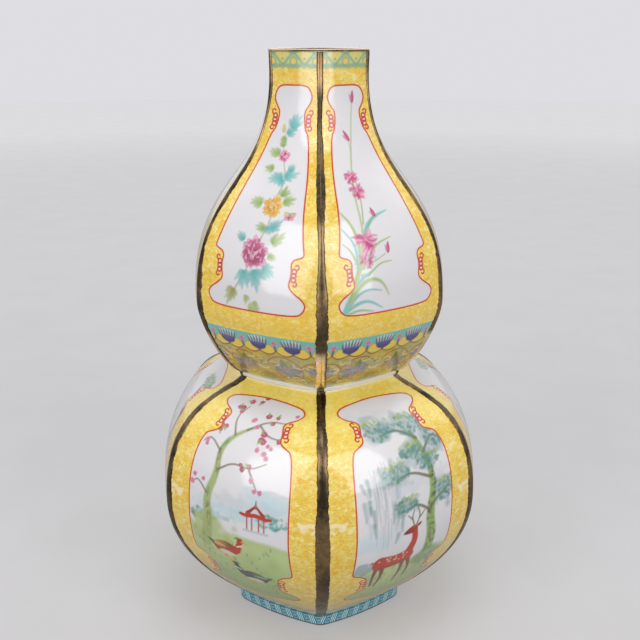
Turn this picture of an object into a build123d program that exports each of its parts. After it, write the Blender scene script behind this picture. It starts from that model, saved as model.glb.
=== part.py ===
from build123d import *
import os
from math import asin, cos, degrees, pi, sin, sqrt

# Six-sided double gourd vase, built of bowed slabs: six upper and six lower panels, mitred at
# the corners and luted at the waist, a floor slab, a foot ring, and gilding over each corner
# and round the lip. Millimetres, +Z up, origin at the middle of the foot, a corner towards -Y.

# Whole vase
side_count = 6
first_panel_angle = -120.0
vase_height = 320.0
wall = 4.5
bow_offset = 98.0

# Outline of a panel along its middle: radii from the vase's axis, heights from the table.
# A reach is how far the curve runs on in the direction that it has at a point.
foot_radius = 50.0
foot_height = 7.0
foot_reach_out = 7.6
foot_reach_up = 7.9
belly_radius = 91.5
belly_height = 81.5
belly_reach_down = 36.5
belly_reach_up = 65.0
waist_radius = 44.5
waist_height = 148.5
waist_reach_down = 11.5
waist_flare_out = 10.2
waist_flare_up = 1.8
crown_radius = 68.8
crown_height = 193.0
crown_reach_down = 11.0
crown_reach_up = 64.0
neck_radius = 24.6
neck_drop = 68.7
lip_radius = 26.0
lip_straight = 8.0
lip_round = 1.2

# Floor slab, let in between the panels, which stand on the foot ring
panel_foot_width = 6.5
base_gap = 0.1
base_thickness = 5.5
base_seat = 1.6
foot_corner_round = 8.0
foot_edge_round = 0.9

# Luted seam at the waist
seam_size = 2.2

# Gilding
gilt_thickness = 0.3
upper_gilt_width = 3.8
lower_gilt_width = 5.2
lip_gilt_height = 1.0

# How far a cut or a sweep runs past what it cuts
overrun = 9.0

side_step = 360 / side_count
half_step = pi / side_count
widest_radius = max(belly_radius, crown_radius, foot_radius)
panel_foot_radius = foot_radius - panel_foot_width
base_radius = panel_foot_radius - base_gap


def corner_radius(middle_radius):
    # Where two bowed sides of that radius at their middle meet, on the mitre plane.
    bow = middle_radius + bow_offset
    return sqrt(bow**2 - (bow_offset * sin(half_step)) ** 2) - bow_offset * cos(half_step)


def half_width(middle_radius):
    return corner_radius(middle_radius) * sin(half_step)


# The sweep about a side's bow axis goes past both mitre planes at the widest place.
side_sweep = 2 * degrees(asin((half_width(widest_radius) + overrun) / (widest_radius + bow_offset)))

# Outer line of a panel, as the control points of four Bezier curves, radius and height
foot_curve = [
    Vector(foot_radius, foot_height),
    Vector(foot_radius + foot_reach_out, foot_height + foot_reach_up),
    Vector(belly_radius, belly_height - belly_reach_down),
    Vector(belly_radius, belly_height),
]
shoulder_curve = [
    Vector(belly_radius, belly_height),
    Vector(belly_radius, belly_height + belly_reach_up),
    Vector(waist_radius, waist_height - waist_reach_down),
    Vector(waist_radius, waist_height),
]
crown_curve = [
    Vector(waist_radius, waist_height),
    Vector(waist_radius + waist_flare_out, waist_height + waist_flare_up),
    Vector(crown_radius, crown_height - crown_reach_down),
    Vector(crown_radius, crown_height),
]
neck_curve = [
    Vector(crown_radius, crown_height),
    Vector(crown_radius, crown_height + crown_reach_up),
    Vector(neck_radius, vase_height - neck_drop),
    Vector(lip_radius, vase_height - lip_straight),
]


def beside(curve, distance):
    # Control points of the line that runs beside a curve: each leg of its polygon moves outwards.
    legs = [(after - before).normalized() for before, after in zip(curve, curve[1:])]
    outward = [Vector(leg.Y, -leg.X) for leg in legs]
    outward = [outward[0], *outward, outward[-1]]
    return [
        point + (before + after) * (distance / (1 + before.dot(after)))
        for point, before, after in zip(curve, outward, outward[1:])
    ]


def half_bulb(curves, distance, before=0, after=0):
    # The region from the vase's axis out to the curves, moved outwards by distance. Its line may
    # run on straight before the first point and after the last one.
    moved = [beside(curve, distance) for curve in curves]
    first, last = moved[0][0], moved[-1][-1]
    start = first - (moved[0][1] - first).normalized() * before
    end = last + (last - moved[-1][-2]).normalized() * after
    with BuildSketch() as region:
        with BuildLine():
            for points in moved:
                Bezier(*points)
            if before:
                Line(start, first)
            if after:
                Line(last, end)
            Polyline(end, (0, end.Y), (0, start.Y), start)
        make_face()
    return region.sketch


def keep_between(low, high):
    # Clips the sketch that is being made to the heights between low and high.
    with Locations((0, low)):
        Rectangle(
            2 * (widest_radius + overrun),
            high - low,
            align=(Align.CENTER, Align.MIN),
            mode=Mode.INTERSECT,
        )


# Sections, as radius and height

with BuildSketch() as body_section:
    add(half_bulb([crown_curve, neck_curve], 0, after=lip_straight + overrun))
    keep_between(waist_height, vase_height)
    add(half_bulb([foot_curve, shoulder_curve], 0))

with BuildSketch() as throat_section:
    throat_corner = beside(crown_curve, -wall)[0]
    with Locations((0, waist_height)):
        Rectangle(throat_corner.X, throat_corner.Y - waist_height, align=(Align.MIN, Align.MIN))
    with Locations((waist_radius, waist_height)):
        Circle(wall, mode=Mode.SUBTRACT)

with BuildSketch() as cavity_section:
    add(half_bulb([foot_curve, shoulder_curve], -wall, before=overrun))
    keep_between(foot_height + base_thickness, waist_height)
    Rectangle(panel_foot_radius, foot_height + base_thickness, align=(Align.MIN, Align.MIN))
    add(throat_section.sketch)
    with BuildSketch(mode=Mode.PRIVATE) as bulb:
        add(half_bulb([crown_curve, neck_curve], -wall, after=lip_straight + overrun))
        keep_between(throat_corner.Y, vase_height + overrun)
    add(bulb.sketch)

with BuildSketch() as wall_section:
    add(body_section.sketch)
    add(cavity_section.sketch, mode=Mode.SUBTRACT)
    fillet(wall_section.vertices().group_by(Axis.Y)[-1], lip_round)

with BuildSketch() as lower_wall_section:
    add(wall_section.sketch)
    keep_between(foot_height, waist_height)

with BuildSketch() as upper_wall_section:
    add(wall_section.sketch)
    keep_between(waist_height, vase_height)

with BuildSketch() as seam_section:
    with Locations((waist_radius, waist_height)):
        Circle(seam_size)
    add(body_section.sketch, mode=Mode.SUBTRACT)

with BuildSketch() as gilt_section:
    add(half_bulb([foot_curve, shoulder_curve], gilt_thickness))
    add(half_bulb([crown_curve, neck_curve], gilt_thickness, after=lip_straight))
    with Locations((waist_radius, waist_height)):
        Circle(seam_size + gilt_thickness)
    add(body_section.sketch, mode=Mode.SUBTRACT)
    add(seam_section.sketch, mode=Mode.SUBTRACT)

with BuildSketch() as lower_gilt_section:
    add(gilt_section.sketch)
    keep_between(foot_height, waist_height)

with BuildSketch() as upper_gilt_section:
    add(gilt_section.sketch)
    keep_between(waist_height, vase_height - lip_gilt_height)

with BuildSketch() as lip_gilt_section:
    add(wall_section.sketch)
    keep_between(vase_height - lip_gilt_height - gilt_thickness, vase_height)
    offset(amount=gilt_thickness, kind=Kind.ARC, mode=Mode.REPLACE)
    keep_between(vase_height - lip_gilt_height, vase_height + gilt_thickness)
    add(wall_section.sketch, mode=Mode.SUBTRACT)


# Sides: each is a section turned about its bow axis, which lies behind the vase's axis, and
# cut along the mitre planes that hold the vase's axis and its corners.

def mitre_plane(angle, shift=0):
    facing = Vector(0, 1, 0).rotate(Axis.Z, angle)
    return Plane(origin=facing * shift, z_dir=facing)


def bow_side(section):
    # One side, its middle towards +X.
    bow_axis = Axis((-bow_offset, 0, 0), (0, 0, 1))
    start = Plane(
        origin=bow_axis.position,
        x_dir=Vector(1, 0, 0).rotate(Axis.Z, -side_sweep / 2),
        z_dir=Vector(0, -1, 0).rotate(Axis.Z, -side_sweep / 2),
    )
    with BuildSketch(start) as placed:
        with Locations((bow_offset, 0)):
            add(section.sketch)
    revolve(placed.sketch, axis=bow_axis, revolution_arc=side_sweep)
    split(bisect_by=mitre_plane(side_step / 2), keep=Keep.BOTTOM)
    split(bisect_by=mitre_plane(-side_step / 2), keep=Keep.TOP)


with BuildPart() as lower_side:
    bow_side(lower_wall_section)

with BuildPart() as upper_side:
    bow_side(upper_wall_section)

with BuildPart() as seam_side:
    bow_side(seam_section)

with BuildPart() as lip_gilt_side:
    bow_side(lip_gilt_section)


def gilt_corner(section, width):
    # A strip over the corner at half a step from +X, as wide as given on both sides together.
    bow_side(section)
    split(bisect_by=mitre_plane(side_step / 2, -width / 2), keep=Keep.TOP)
    mirror(about=mitre_plane(side_step / 2))


with BuildPart() as lower_gilt_corner:
    gilt_corner(lower_gilt_section, lower_gilt_width)

with BuildPart() as upper_gilt_corner:
    gilt_corner(upper_gilt_section, upper_gilt_width)


def bowed_outline(middle_radius):
    # A closed line of bowed sides, with its corners on the mitre planes.
    corners = [
        Vector(corner_radius(middle_radius), 0).rotate(Axis.Z, (side + 0.5) * side_step)
        for side in range(side_count)
    ]
    middles = [
        Vector(middle_radius, 0).rotate(Axis.Z, (side + 1) * side_step) for side in range(side_count)
    ]
    for side in range(side_count):
        ThreePointArc(corners[side], middles[side], corners[(side + 1) % side_count])


os.makedirs("parts", exist_ok=True)


def write(piece, node):
    piece.part.label = node
    export_step(piece.part, f"parts/{node}.step")


# Panels and the gilding between them, numbered from the front left, anticlockwise from above

for number in range(1, side_count + 1):
    panel_angle = first_panel_angle + (number - 1) * side_step
    turned = Location((0, 0, 0), (0, 0, panel_angle))

    with BuildPart() as lower_panel:
        with Locations(turned):
            add(lower_side.part)
    write(lower_panel, f"lower_panel_{number}")

    with BuildPart() as upper_panel:
        with Locations(turned):
            add(upper_side.part)
    write(upper_panel, f"upper_panel_{number}")

    with BuildPart() as lower_gilt_band:
        with Locations(turned):
            add(lower_gilt_corner.part)
    write(lower_gilt_band, f"lower_gilt_band_{number}")

    with BuildPart() as upper_gilt_band:
        with Locations(turned):
            add(upper_gilt_corner.part)
    write(upper_gilt_band, f"upper_gilt_band_{number}")

# Floor slab, let in between the panels and resting on the foot ring

with BuildPart() as base_plate:
    with BuildSketch(Plane.XY.offset(foot_height)):
        with BuildLine():
            bowed_outline(base_radius)
        make_face()
    extrude(amount=base_thickness)
write(base_plate, "base_plate")

# Foot ring, with blunt corners and a softened standing edge

with BuildPart() as foot_ring:
    with BuildSketch() as foot_outline:
        with BuildLine():
            bowed_outline(foot_radius)
        make_face()
        fillet(foot_outline.vertices(), foot_corner_round)
    extrude(amount=foot_height)
    with BuildSketch() as foot_recess:
        with BuildLine():
            bowed_outline(base_radius - base_seat)
        make_face()
        fillet(foot_recess.vertices(), foot_corner_round)
    extrude(amount=foot_height, mode=Mode.SUBTRACT)
    fillet(foot_ring.edges().group_by(Axis.Z)[0], foot_edge_round)
write(foot_ring, "foot_ring")

# Seam at the waist, a small white fillet in the groove between the two bulbs

with BuildPart() as waist_seam:
    with PolarLocations(0, side_count):
        add(seam_side.part)
write(waist_seam, "waist_seam")

# Gilding over the lip

with BuildPart() as lip_gilding:
    with PolarLocations(0, side_count):
        add(lip_gilt_side.part)
write(lip_gilding, "lip_gilding")

print("corner to corner", round(2 * corner_radius(belly_radius), 1), "mm")
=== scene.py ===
import math

import bmesh
import bpy
import numpy as np
from mathutils import Matrix, Vector
from mathutils.geometry import interpolate_bezier


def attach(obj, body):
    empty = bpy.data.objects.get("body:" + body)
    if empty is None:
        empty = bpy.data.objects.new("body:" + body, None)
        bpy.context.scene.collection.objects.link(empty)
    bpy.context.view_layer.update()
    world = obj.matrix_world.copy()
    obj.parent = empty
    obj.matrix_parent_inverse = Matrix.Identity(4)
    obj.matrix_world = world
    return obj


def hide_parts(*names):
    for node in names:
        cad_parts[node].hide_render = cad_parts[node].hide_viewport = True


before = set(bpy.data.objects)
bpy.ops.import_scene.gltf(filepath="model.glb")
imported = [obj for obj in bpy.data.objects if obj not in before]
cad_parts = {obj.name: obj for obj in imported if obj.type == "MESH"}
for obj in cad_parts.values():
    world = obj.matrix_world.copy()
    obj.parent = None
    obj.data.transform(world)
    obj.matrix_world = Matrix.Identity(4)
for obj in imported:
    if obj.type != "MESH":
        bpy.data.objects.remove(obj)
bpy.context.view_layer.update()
print("frame loaded:", len(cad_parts), "nodes")

mm = 0.001
vase = {
    "sides": 6,
    "firstAngle": -120,  # middle of the front left side, in degrees
    "bowOffset": 98,     # a side's bow is centred this far behind the vase's axis, in mm
    "wall": 4.5,
    "grid": 0.46,        # spacing of the painted surface's vertices, in mm
    "innerGrid": 4.0,
    "curvePoints": 1200,
    "smoothTo": 32,      # sharper turns than this, in degrees, are shaded as edges
    "skin": 0.3,         # what lies this near to the outer line, in mm, is painted
}
halfStep = math.pi / vase["sides"]
bow = vase["bowOffset"]


# Colour and material helpers

def tint(red, green, blue):
    # A colour as it looks on screen, 0 to 255, as linear light.
    share = np.array([red, green, blue]) / 255
    return np.where(share <= 0.04045, share / 12.92, ((share + 0.055) / 1.055) ** 2.4)


def tone(red, green, blue):
    return (*tint(red, green, blue), 1)


class Number:
    # A value in a node tree, used in sums like a plain number.
    def __init__(self, tree, socket):
        self.tree, self.socket = tree, socket

    def made(self, kind, inputs, **settings):
        return Number(self.tree, addNode(self.tree, kind, inputs, **settings).outputs[0])

    def math(self, operation, other=0.0):
        return self.made("Math", {0: self, 1: other}, operation=operation)

    def __add__(self, other):
        return self.math("ADD", other)

    def __sub__(self, other):
        return self.math("SUBTRACT", other)

    def __mul__(self, other):
        return self.math("MULTIPLY", other)

    def __truediv__(self, other):
        return self.math("DIVIDE", other)

    def rest(self):
        return self.made("Math", {0: 1.0, 1: self}, operation="SUBTRACT")

    def mapped(self, low, high, first=0.0, last=1.0):
        return self.made("MapRange", {0: self, 1: low, 2: high, 3: first, 4: last})

    def step(self, middle, soft):
        # 0 below middle and 1 above it, over a soft edge.
        return self.mapped(middle - soft, middle + soft)


def addNode(tree, kind, inputs=None, **settings):
    node = tree.nodes.new("ShaderNode" + kind)
    for key, value in settings.items():
        setattr(node, key, value)
    for key, value in (inputs or {}).items():
        value = value.socket if isinstance(value, Number) else value
        if isinstance(value, bpy.types.NodeSocket):
            tree.links.new(value, node.inputs[key])
        else:
            node.inputs[key].default_value = value
    return node


class Surface:
    # A material in the making. Colours are given as they look on screen.
    def __init__(self, name, **sockets):
        self.material = bpy.data.materials.new(name)
        self.material.use_nodes = True
        self.tree = self.material.node_tree
        self.shader = self.tree.nodes["Principled BSDF"]
        for key, value in sockets.items():
            self.shader.inputs[key.replace("_", " ")].default_value = value
        self.place = self.node("TexCoord").outputs["Object"]

    def node(self, kind, inputs=None, **settings):
        return addNode(self.tree, kind, inputs, **settings)

    def number(self, socket):
        return Number(self.tree, socket)

    def attribute(self, name, output="Fac"):
        return self.number(self.node("Attribute", attribute_name=name).outputs[output])

    def grain(self, size, detail=3.0, distortion=0.0, place=None):
        # Noise whose features are about that size, in mm.
        inputs = {"Vector": self.place if place is None else place, "Scale": 1 / (size * mm),
                  "Detail": detail, "Roughness": 0.55, "Distortion": distortion}
        return self.number(self.node("TexNoise", inputs).outputs[0])

    def split(self, vector):
        return [self.number(part) for part in self.node("SeparateXYZ", {0: vector}).outputs]

    def facing(self):
        return self.split(self.node("NewGeometry").outputs["Normal"])[2]

    def ramp(self, value, *stops):
        node = self.node("ValToRGB", {0: value})
        elements = node.color_ramp.elements
        while len(elements) < len(stops):
            elements.new(0.5)
        for element, (place, colour) in zip(elements, stops):
            element.position = place
            element.color = tone(*colour)
        return node.outputs[0]

    def mix(self, share, under, over, how="MIX"):
        under, over = [tone(*side) if isinstance(side, tuple) else side for side in (under, over)]
        return self.node("Mix", {0: share, 6: under, 7: over}, data_type="RGBA", blend_type=how).outputs[2]

    def feed(self, key, value):
        value = value.socket if isinstance(value, Number) else value
        self.tree.links.new(value, self.shader.inputs[key])

    def bump(self, height, strength, distance, keys=("Normal",)):
        node = self.node("Bump", {"Strength": strength, "Distance": distance, "Height": height})
        for key in keys:
            self.feed(key, node.outputs[0])


# The form of a side: a curved line up its middle, turned about the bow axis

tiers = {
    "lower": {
        "curves": [((50, 7), (57.6, 14.9), (91.5, 45), (91.5, 81.5)),
                   ((91.5, 81.5), (91.5, 146.5), (44.5, 137), (44.5, 148.5))],
        "runOn": 0,
        "widest": 91.5,
        "seat": (43.5, 12.5),  # inner radius at the foot, and top of the floor slab
        "designs": ("lakeside", "pineGorge", "riverHills") * 2,
    },
    "upper": {
        "curves": [((44.5, 148.5), (54.7, 150.3), (68.8, 182), (68.8, 193)),
                   ((68.8, 193), (68.8, 257), (24.6, 251.3), (26, 312))],
        "runOn": 8.002,        # straight, up to the lip
        "widest": 68.8,
        "throat": (44.5, 148.5),
        "lipRound": 1.2,
        "designs": ("peonies", "irises") * 3,
    },
}


def halfWidth(radius):
    corner = np.sqrt((radius + bow) ** 2 - (bow * math.sin(halfStep)) ** 2) - bow * math.cos(halfStep)
    return corner * math.sin(halfStep)


def measureLine(tier):
    # Radius and height along the middle of a side, with the length up to each point.
    points = []
    for curve in tier["curves"]:
        corners = [Vector(corner) for corner in curve]
        run = [tuple(point) for point in interpolate_bezier(*corners, vase["curvePoints"])]
        points += run[1:] if points else run
    line = np.array(points)
    if tier["runOn"]:
        way = line[-1] - np.array(tier["curves"][-1][2])
        line = np.vstack([line, line[-1] + way / np.hypot(*way) * tier["runOn"]])
    tier["length"] = np.concatenate([[0], np.cumsum(np.hypot(*np.diff(line, axis=0).T))])
    tier["line"] = line
    way = np.gradient(line, tier["length"], axis=0)
    tier["outward"] = np.stack([way[:, 1], -way[:, 0]], 1) / np.hypot(way[:, 0], way[:, 1])[:, None]


def lineAt(tier, up, lift=0.0):
    # Radius and height of the line at lengths up, moved outwards by lift.
    values = [np.interp(up, tier["length"], column)
              for column in (*tier["line"].T, *tier["outward"].T)]
    return values[0] + lift * values[2], values[1] + lift * values[3]


def sampleLine(tier, first, last, count, lift=0.0):
    return np.stack(lineAt(tier, np.linspace(first, last, count), lift), 1)


def ringLower(tier):
    total = tier["length"][-1]
    outer = sampleLine(tier, 0, total, round(total / vase["grid"]) + 1)
    seatRadius, seatTop = tier["seat"]
    dense = np.linspace(0, total, 800)
    start = np.interp(seatTop, lineAt(tier, dense, -vase["wall"])[1], dense)
    inner = sampleLine(tier, total, start, round((total - start) / vase["innerGrid"]) + 1, -vase["wall"])
    floor = [(seatRadius, seatTop), (seatRadius, tier["curves"][0][0][1])]
    return np.vstack([outer, inner, floor])


def ringUpper(tier):
    wall, curl, total = vase["wall"], tier["lipRound"], tier["length"][-1]
    outer = sampleLine(tier, 0, total - curl, round(total / vase["grid"]) + 1)
    radius, height = tier["line"][-1]
    quarter = np.linspace(0, math.pi / 2, 6)[1:]
    sine, cosine = curl * np.sin(quarter), curl * np.cos(quarter)
    lip = np.stack([radius - curl + cosine, height - curl + sine], 1)
    rimEdge = radius - wall + curl
    rim = np.stack([rimEdge - sine, height - curl + cosine], 1)
    inner = sampleLine(tier, total - curl - vase["innerGrid"], 0, round(total / vase["innerGrid"]), -wall)
    turn = np.radians([120, 140, 160, 180])
    throat = np.array(tier["throat"]) + wall * np.stack([np.cos(turn), np.sin(turn)], 1)
    return np.vstack([outer, lip, [(rimEdge, height)], rim, inner, throat])


def writeMesh(bm, mesh):
    # Writes the faces to the mesh, turned outwards.
    bmesh.ops.recalc_face_normals(bm, faces=bm.faces[:])
    bm.to_mesh(mesh)
    bm.free()
    return mesh


def spinSide(name, tier, ring):
    # Turns the closed ring about the bow axis and cuts it along both mitre planes.
    bm = bmesh.new()
    verts = [bm.verts.new((radius, 0, height)) for radius, height in ring]
    edges = [bm.edges.new(pair) for pair in zip(verts, verts[1:] + verts[:1])]
    axis = Vector((-bow, 0, 0))
    reach = tier["widest"] + bow
    turn = math.asin((halfWidth(tier["widest"]) + 1) / reach)
    bmesh.ops.rotate(bm, verts=verts, cent=axis, matrix=Matrix.Rotation(-turn, 3, "Z"))
    bmesh.ops.spin(bm, geom=verts + edges, cent=axis, axis=(0, 0, 1), angle=2 * turn,
                   steps=round(2 * turn * reach / vase["grid"]), use_merge=False)
    for side in (-1, 1):
        beyond = (-math.sin(halfStep), side * math.cos(halfStep), 0)
        cut = bmesh.ops.bisect_plane(bm, geom=bm.verts[:] + bm.edges[:] + bm.faces[:], dist=1e-5,
                                     plane_co=(0, 0, 0), plane_no=beyond, clear_outer=True)
        rim = [part for part in cut["geom_cut"] if isinstance(part, bmesh.types.BMEdge)]
        bmesh.ops.edgeloop_fill(bm, edges=rim)
    mesh = writeMesh(bm, bpy.data.meshes.new(name))
    mesh.shade_smooth()
    mesh.set_sharp_from_angle(angle=math.radians(vase["smoothTo"]))
    return mesh


def readPlaces(mesh):
    flat = np.empty(len(mesh.vertices) * 3, np.float32)
    mesh.vertices.foreach_get("co", flat)
    return flat.reshape(-1, 3).astype(float)


def storeFloat(mesh, name, values):
    mesh.attributes.new(name, "FLOAT", "POINT").data.foreach_set("value", values.astype(np.float32))


def storePaint(mesh, canvas):
    four = np.concatenate([canvas["rgb"], canvas["cover"][:, None]], 1).astype(np.float32)
    mesh.attributes.new("paint", "FLOAT_COLOR", "POINT").data.foreach_set("color", four.ravel())


for key, makeRing in (("lower", ringLower), ("upper", ringUpper)):
    tier = tiers[key]
    measureLine(tier)
    tier["mesh"] = spinSide(key + "Side", tier, makeRing(tier))
    places = readPlaces(tier["mesh"])
    radius = np.hypot(places[:, 0] + bow, places[:, 1]) - bow
    tier["s"] = np.interp(places[:, 2], tier["line"][:, 1], tier["length"])
    tier["x"] = (radius + bow) * np.arctan2(places[:, 1], places[:, 0] + bow)
    tier["outside"] = (np.abs(radius - lineAt(tier, tier["s"])[0]) < vase["skin"]).astype(float)
    print(key, "side:", len(tier["mesh"].vertices), "vertices", len(tier["mesh"].polygons), "faces")


# Painting: each vertex of a side has a place x across it and s up it, in mm, and takes enamel
# stroke by stroke. Colours are kept multiplied by their cover.

enamel = {  # as they look on the glaze
    "rose": (204, 56, 126), "deepRose": (172, 28, 100), "paleRose": (238, 176, 204),
    "yellow": (238, 200, 84), "amber": (222, 158, 48), "teal": (96, 176, 176),
    "leaf": (140, 170, 84), "deepLeaf": (92, 128, 60), "moss": (176, 190, 120), "deepTeal": (52, 128, 132),
    "grass": (186, 204, 140), "bark": (112, 104, 66), "ink": (52, 56, 50), "mist": (190, 200, 208),
    "water": (172, 216, 226), "pine": (92, 138, 138), "rust": (186, 50, 22), "deepRust": (104, 22, 16),
    "white": (238, 238, 236), "turquoise": (108, 192, 182), "navy": (56, 58, 128),
    "garland": (150, 84, 48), "lattice": (126, 172, 144), "cream": (250, 236, 190),
    "foliage": (84, 140, 92), "stem": (150, 164, 122), "paleTeal": (136, 196, 194),
    "paleLeaf": (172, 192, 132), "lilac": (168, 156, 168), "olive": (168, 160, 84),
    "lobe": (238, 206, 70), "latticeGround": (216, 210, 122), "scrollGround": (190, 170, 76),
    "paintedLightUpper": (255, 214, 84), "paintedLightLower": (255, 236, 122), "paintedShadeLow": (140, 92, 34),
    "whiteRim": (240, 238, 230),
}
enamel = {name: tint(*colour) for name, colour in enamel.items()}


def pigment(colour):
    return enamel[colour] if isinstance(colour, str) else colour


def newCanvas(tier):
    count = len(tier["x"])
    return {"x": tier["x"], "s": tier["s"], "rgb": np.zeros((count, 3)), "cover": np.zeros(count)}


def lay(canvas, where, cover, colour):
    share = np.clip(cover, 0, 1)
    canvas["rgb"][where] = canvas["rgb"][where] * (1 - share[:, None]) + pigment(colour) * share[:, None]
    canvas["cover"][where] = canvas["cover"][where] * (1 - share) + share


def inside(gap, soft):
    # 1 where the gap is below 0 and 0 where it is above, over a soft edge.
    return np.clip(0.5 - gap / soft, 0, 1)


def near(gap, reach, soft):
    # 1 near a line and 0 away from it.
    return np.clip(reach - np.abs(gap) / soft, 0, 1)


def within(canvas, low, high):
    x, s = canvas["x"], canvas["s"]
    return np.nonzero((x > low[0]) & (x < high[0]) & (s > low[1]) & (s < high[1]))[0]


def around(canvas, place, reach):
    return within(canvas, (place[0] - reach, place[1] - reach), (place[0] + reach, place[1] + reach))


def mottle(x, s, size, seed, cells=97):
    # Smooth noise from 0 to 1 whose patches are about that size.
    table = np.random.default_rng(seed).random((cells, cells))
    u, v = x / size + 40, s / size + 3
    i, j = np.floor(u).astype(int), np.floor(v).astype(int)
    f, g = [part * part * (3 - 2 * part) for part in (u - i, v - j)]
    low, high = [table[i % cells, row % cells] * (1 - f) + table[(i + 1) % cells, row % cells] * f
                 for row in (j, j + 1)]
    return low * (1 - g) + high * g


def bend(path, rounds=2):
    points = np.array(path, float)
    for _ in range(rounds if len(points) > 2 else 0):
        before, after = points[:-1], points[1:]
        cut = np.stack([before * 0.75 + after * 0.25, before * 0.25 + after * 0.75], 1).reshape(-1, 2)
        points = np.concatenate([points[:1], cut, points[-1:]])
    return points


def gapTo(x, s, points, radii):
    # Distance from each place to a line of varying radius, below 0 within it.
    gap = np.full(len(x), 1e6)
    for (ax, ay), (bx, by), first, last in zip(points, points[1:], radii, radii[1:]):
        dx, dy = bx - ax, by - ay
        along = np.clip(((x - ax) * dx + (s - ay) * dy) / max(dx * dx + dy * dy, 1e-9), 0, 1)
        away = np.hypot(x - ax - along * dx, s - ay - along * dy)
        gap = np.minimum(gap, away - first - along * (last - first))
    return gap


def stroke(canvas, path, widths, colour, cover=1.0, soft=0.45):
    points = bend(path)
    radii = np.interp(np.linspace(0, 1, len(points)), np.linspace(0, 1, len(widths)), widths) / 2
    reach = max(widths) / 2 + soft
    where = within(canvas, points.min(0) - reach, points.max(0) + reach)
    gap = gapTo(canvas["x"][where], canvas["s"][where], points, radii)
    lay(canvas, where, cover * inside(gap, soft), colour)


def strokes(canvas, *rows):
    for row in rows:
        stroke(canvas, *row)


def petal(canvas, base, angle, length, width, root, tip, cover=1.0, soft=0.4, full=0.75, edge=0.35):
    # A petal or leaf that grows from its base at an angle, in degrees, with a darker rim.
    root, tip = pigment(root), pigment(tip)
    where = around(canvas, base, length)
    dx, dy = canvas["x"][where] - base[0], canvas["s"][where] - base[1]
    cosine, sine = math.cos(math.radians(angle)), math.sin(math.radians(angle))
    along, across = (dx * cosine + dy * sine) / length, dy * cosine - dx * sine
    inner = np.clip(along, 0, 1)
    gap = np.maximum(np.abs(across) - width / 2 * np.sin(np.pi * inner ** full) ** 0.7,
                     np.maximum(along - 1, -along) * length)
    colour = root * (1 - inner[:, None]) + tip * inner[:, None]
    lay(canvas, where, cover * inside(gap, soft), colour)
    lay(canvas, where, edge * cover * near(gap + 0.25, 1, 0.4), root * 0.5)


def daub(canvas, centre, size, colour, cover=1.0, seed=1, edge=0.3):
    # An uneven patch: an ellipse whose rim wanders.
    where = around(canvas, centre, max(size) * 1.6)
    x, s = canvas["x"][where], canvas["s"][where]
    wander = 0.6 * (mottle(x, s, min(size) * 0.7, seed) - 0.5) * 2
    gap = np.hypot((x - centre[0]) / size[0], (s - centre[1]) / size[1]) - 1 + wander
    lay(canvas, where, cover * inside(gap, edge), colour)


def daubs(canvas, cover, edge, *rows):
    for centre, size, colour, seed in rows:
        daub(canvas, centre, size, colour, cover, seed, edge)


def ahead(place, angle, length):
    turn = math.radians(angle)
    return (place[0] + length * math.cos(turn), place[1] + length * math.sin(turn))


def paler(kind):
    return "paleTeal" if kind == "teal" else "paleLeaf"


def leafSpray(canvas, base, angle, length, kind):
    # A deeply lobed leaf, washed in with thin strokes.
    rng = np.random.default_rng(int(abs(base[0] * 7 + base[1] * 13 + angle)))
    for lean, share in ((-64, 0.45), (62, 0.5), (-38, 0.7), (40, 0.72), (-16, 0.88), (18, 0.85), (0, 1.0)):
        turn = angle + lean + rng.uniform(-7, 7)
        long = length * share * rng.uniform(0.85, 1.1)
        shade = rng.uniform(0.88, 1.12)
        petal(canvas, base, turn, long, length * 0.27, enamel[kind] * shade, enamel[paler(kind)] * shade,
              0.72, soft=0.8, full=0.85, edge=0.12)
        stroke(canvas, [base, ahead(base, turn, 0.8 * long)], (0.35, 0.2), enamel[kind] * 0.75, 0.4)


def fullBloom(canvas, centre, radius, root, tip, seed, rings=4):
    # A many-petalled flower: pale ruffled rim, deep heart and lights along its petals.
    rng = np.random.default_rng(seed)
    root, tip = pigment(root), pigment(tip)
    for ring in range(rings):
        share = 1 - 0.8 * ring / rings
        count = 15 - 2 * ring
        for number in range(count):
            angle = 360 * (number + 0.5 * (ring % 2)) / count + rng.uniform(-10, 10)
            base = ahead(centre, angle, radius * share * 0.2)
            shade = rng.uniform(0.85, 1.1)
            outer = tip if ring == 0 else tip * 0.3 + root * 0.7
            petal(canvas, base, angle, radius * share * rng.uniform(0.72, 1.0), radius * 0.4,
                  root * shade, outer * shade, 0.9, soft=0.5, full=1.2, edge=0.35)
    heart = (centre[0], centre[1] - 0.2 * radius)
    daub(canvas, heart, (radius * 0.5, radius * 0.4), root * 0.8, 0.6, seed, 0.6)
    for _ in range(int(3.5 * radius)):
        angle = rng.uniform(0, 360)
        start = ahead(centre, angle, radius * rng.uniform(0.12, 0.72))
        end = ahead(start, rng.normal(90, 35), radius * rng.uniform(0.12, 0.3))
        stroke(canvas, [start, end], (0.55, 0.3), tip * 0.6 + enamel["white"] * 0.4, 0.8)


def smallBloom(canvas, centre, radius, root, tip, seed, petals=5):
    rng = np.random.default_rng(seed)
    turn = rng.uniform(0, 360)
    for number in range(petals):
        petal(canvas, centre, turn + 360 * number / petals, radius * rng.uniform(0.85, 1.1),
              radius * 0.95, root, tip, 0.92, full=1.2, edge=0.3)
    stroke(canvas, [centre, (centre[0] + 0.1, centre[1])], (radius * 0.35,), "amber")


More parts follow.
